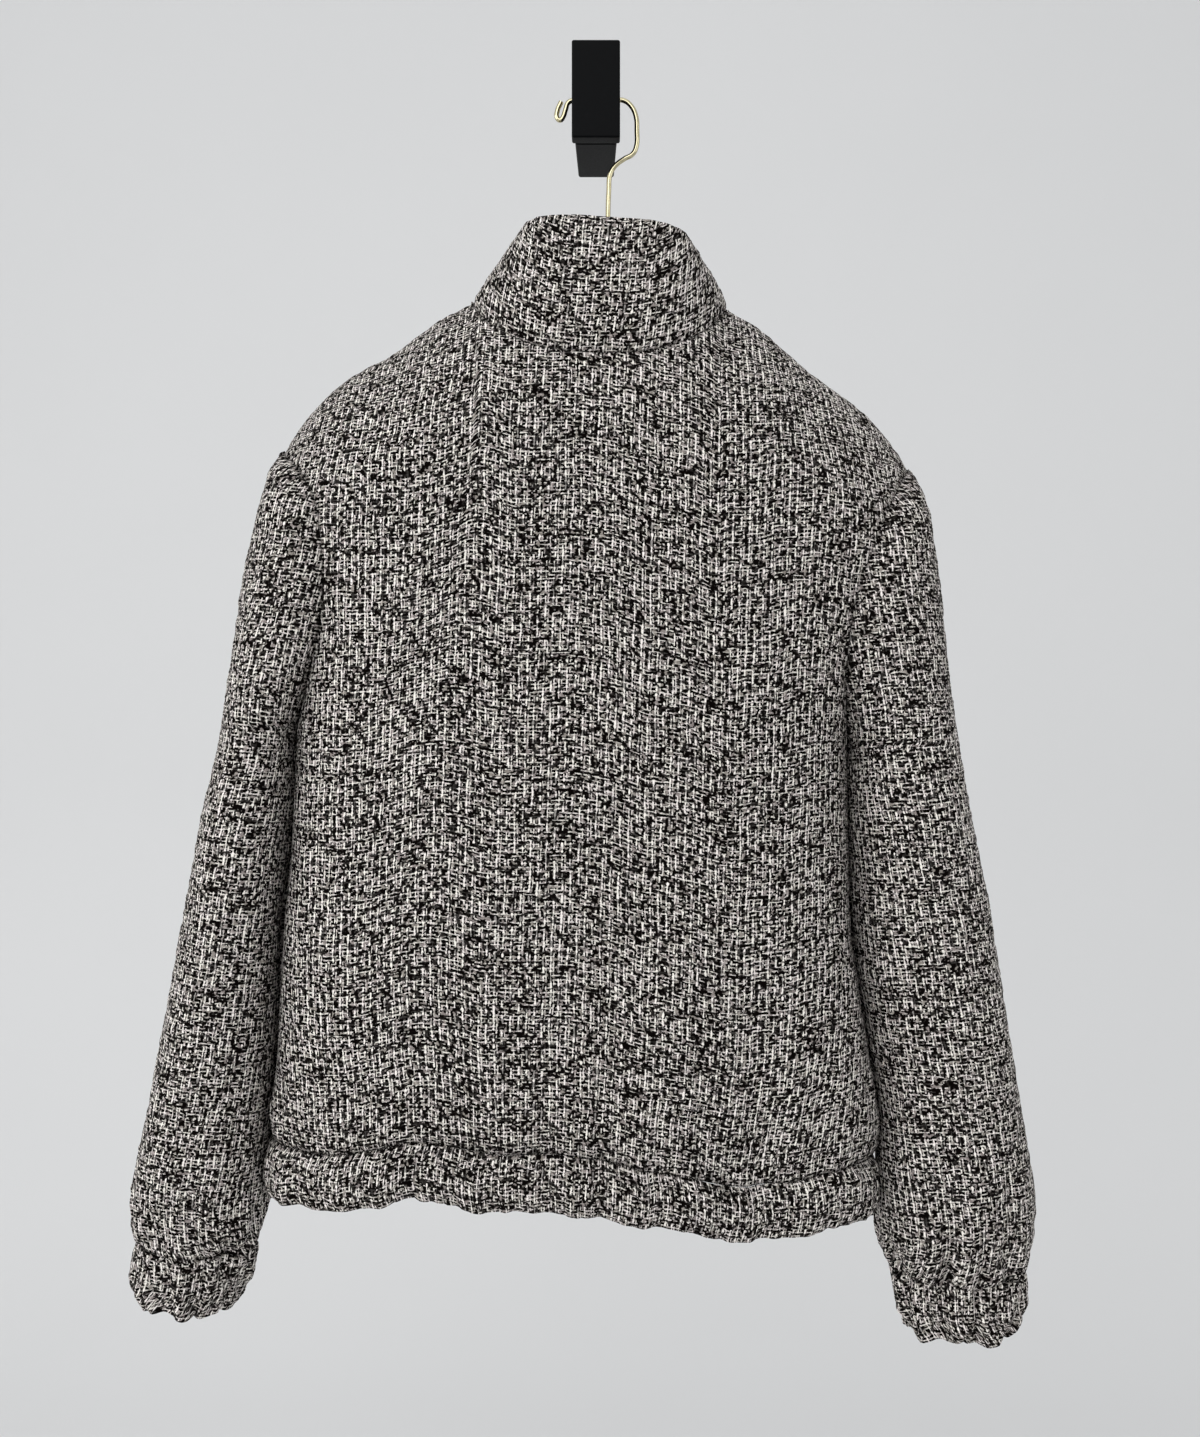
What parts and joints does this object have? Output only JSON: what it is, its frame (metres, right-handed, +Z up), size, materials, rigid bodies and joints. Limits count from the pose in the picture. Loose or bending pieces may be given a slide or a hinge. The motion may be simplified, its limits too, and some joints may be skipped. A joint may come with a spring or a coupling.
{
  "type": "bomber jacket on a wire hanger and a wall hook",
  "caption": "Bomber jacket of thick black and white tweed with a funnel collar and gathered waistband and cuffs, hung by a wire hanger from a black wall hook.",
  "frame": {"origin": "the middle of the wall hook's back face, on the wall", "axes": "+Y into the wall, +Z up, +X to the right for someone who faces the wall; the jacket hangs at negative Y with its back towards -Y"},
  "size_m": [0.6312, 0.1388, 0.8921],
  "materials": {
    "tweed": "thick open tweed of white and black yarns, matt and knobbly",
    "zip_tape": "woven tape, matt black",
    "zip_metal": "polished pale gold",
    "hanger_wire": "polished gold wire",
    "hook_black": "satin black"
  },
  "bodies": {
    "jacket": {"back": "tweed", "front_left": "tweed", "front_right": "tweed", "sleeve_left": "tweed", "sleeve_right": "tweed", "cuff_left": "tweed", "cuff_right": "tweed", "collar": "tweed", "waistband": "tweed", "zip_tape_left": "zip_tape", "zip_tape_right": "zip_tape", "zip_teeth": "zip_metal", "zip_slider": "zip_metal", "zip_box": "zip_metal", "hanger_frame": "hanger_wire", "hanger_hook": "hanger_wire", "wall_hook_arm": "hook_black", "wall_hook_plate": "hook_black"},
    "zip_pull_tab": {"zip_pull": "zip_metal"}
  },
  "joints": [
    {"name": "zip_pull_swing", "type": "hinge", "parent": "jacket", "child": "zip_pull_tab", "pos_m": [0.00307, -0.01109, -0.09522], "axis": [0.9996, 0, -0.0279], "range_deg": [0, 150]}
  ]
}
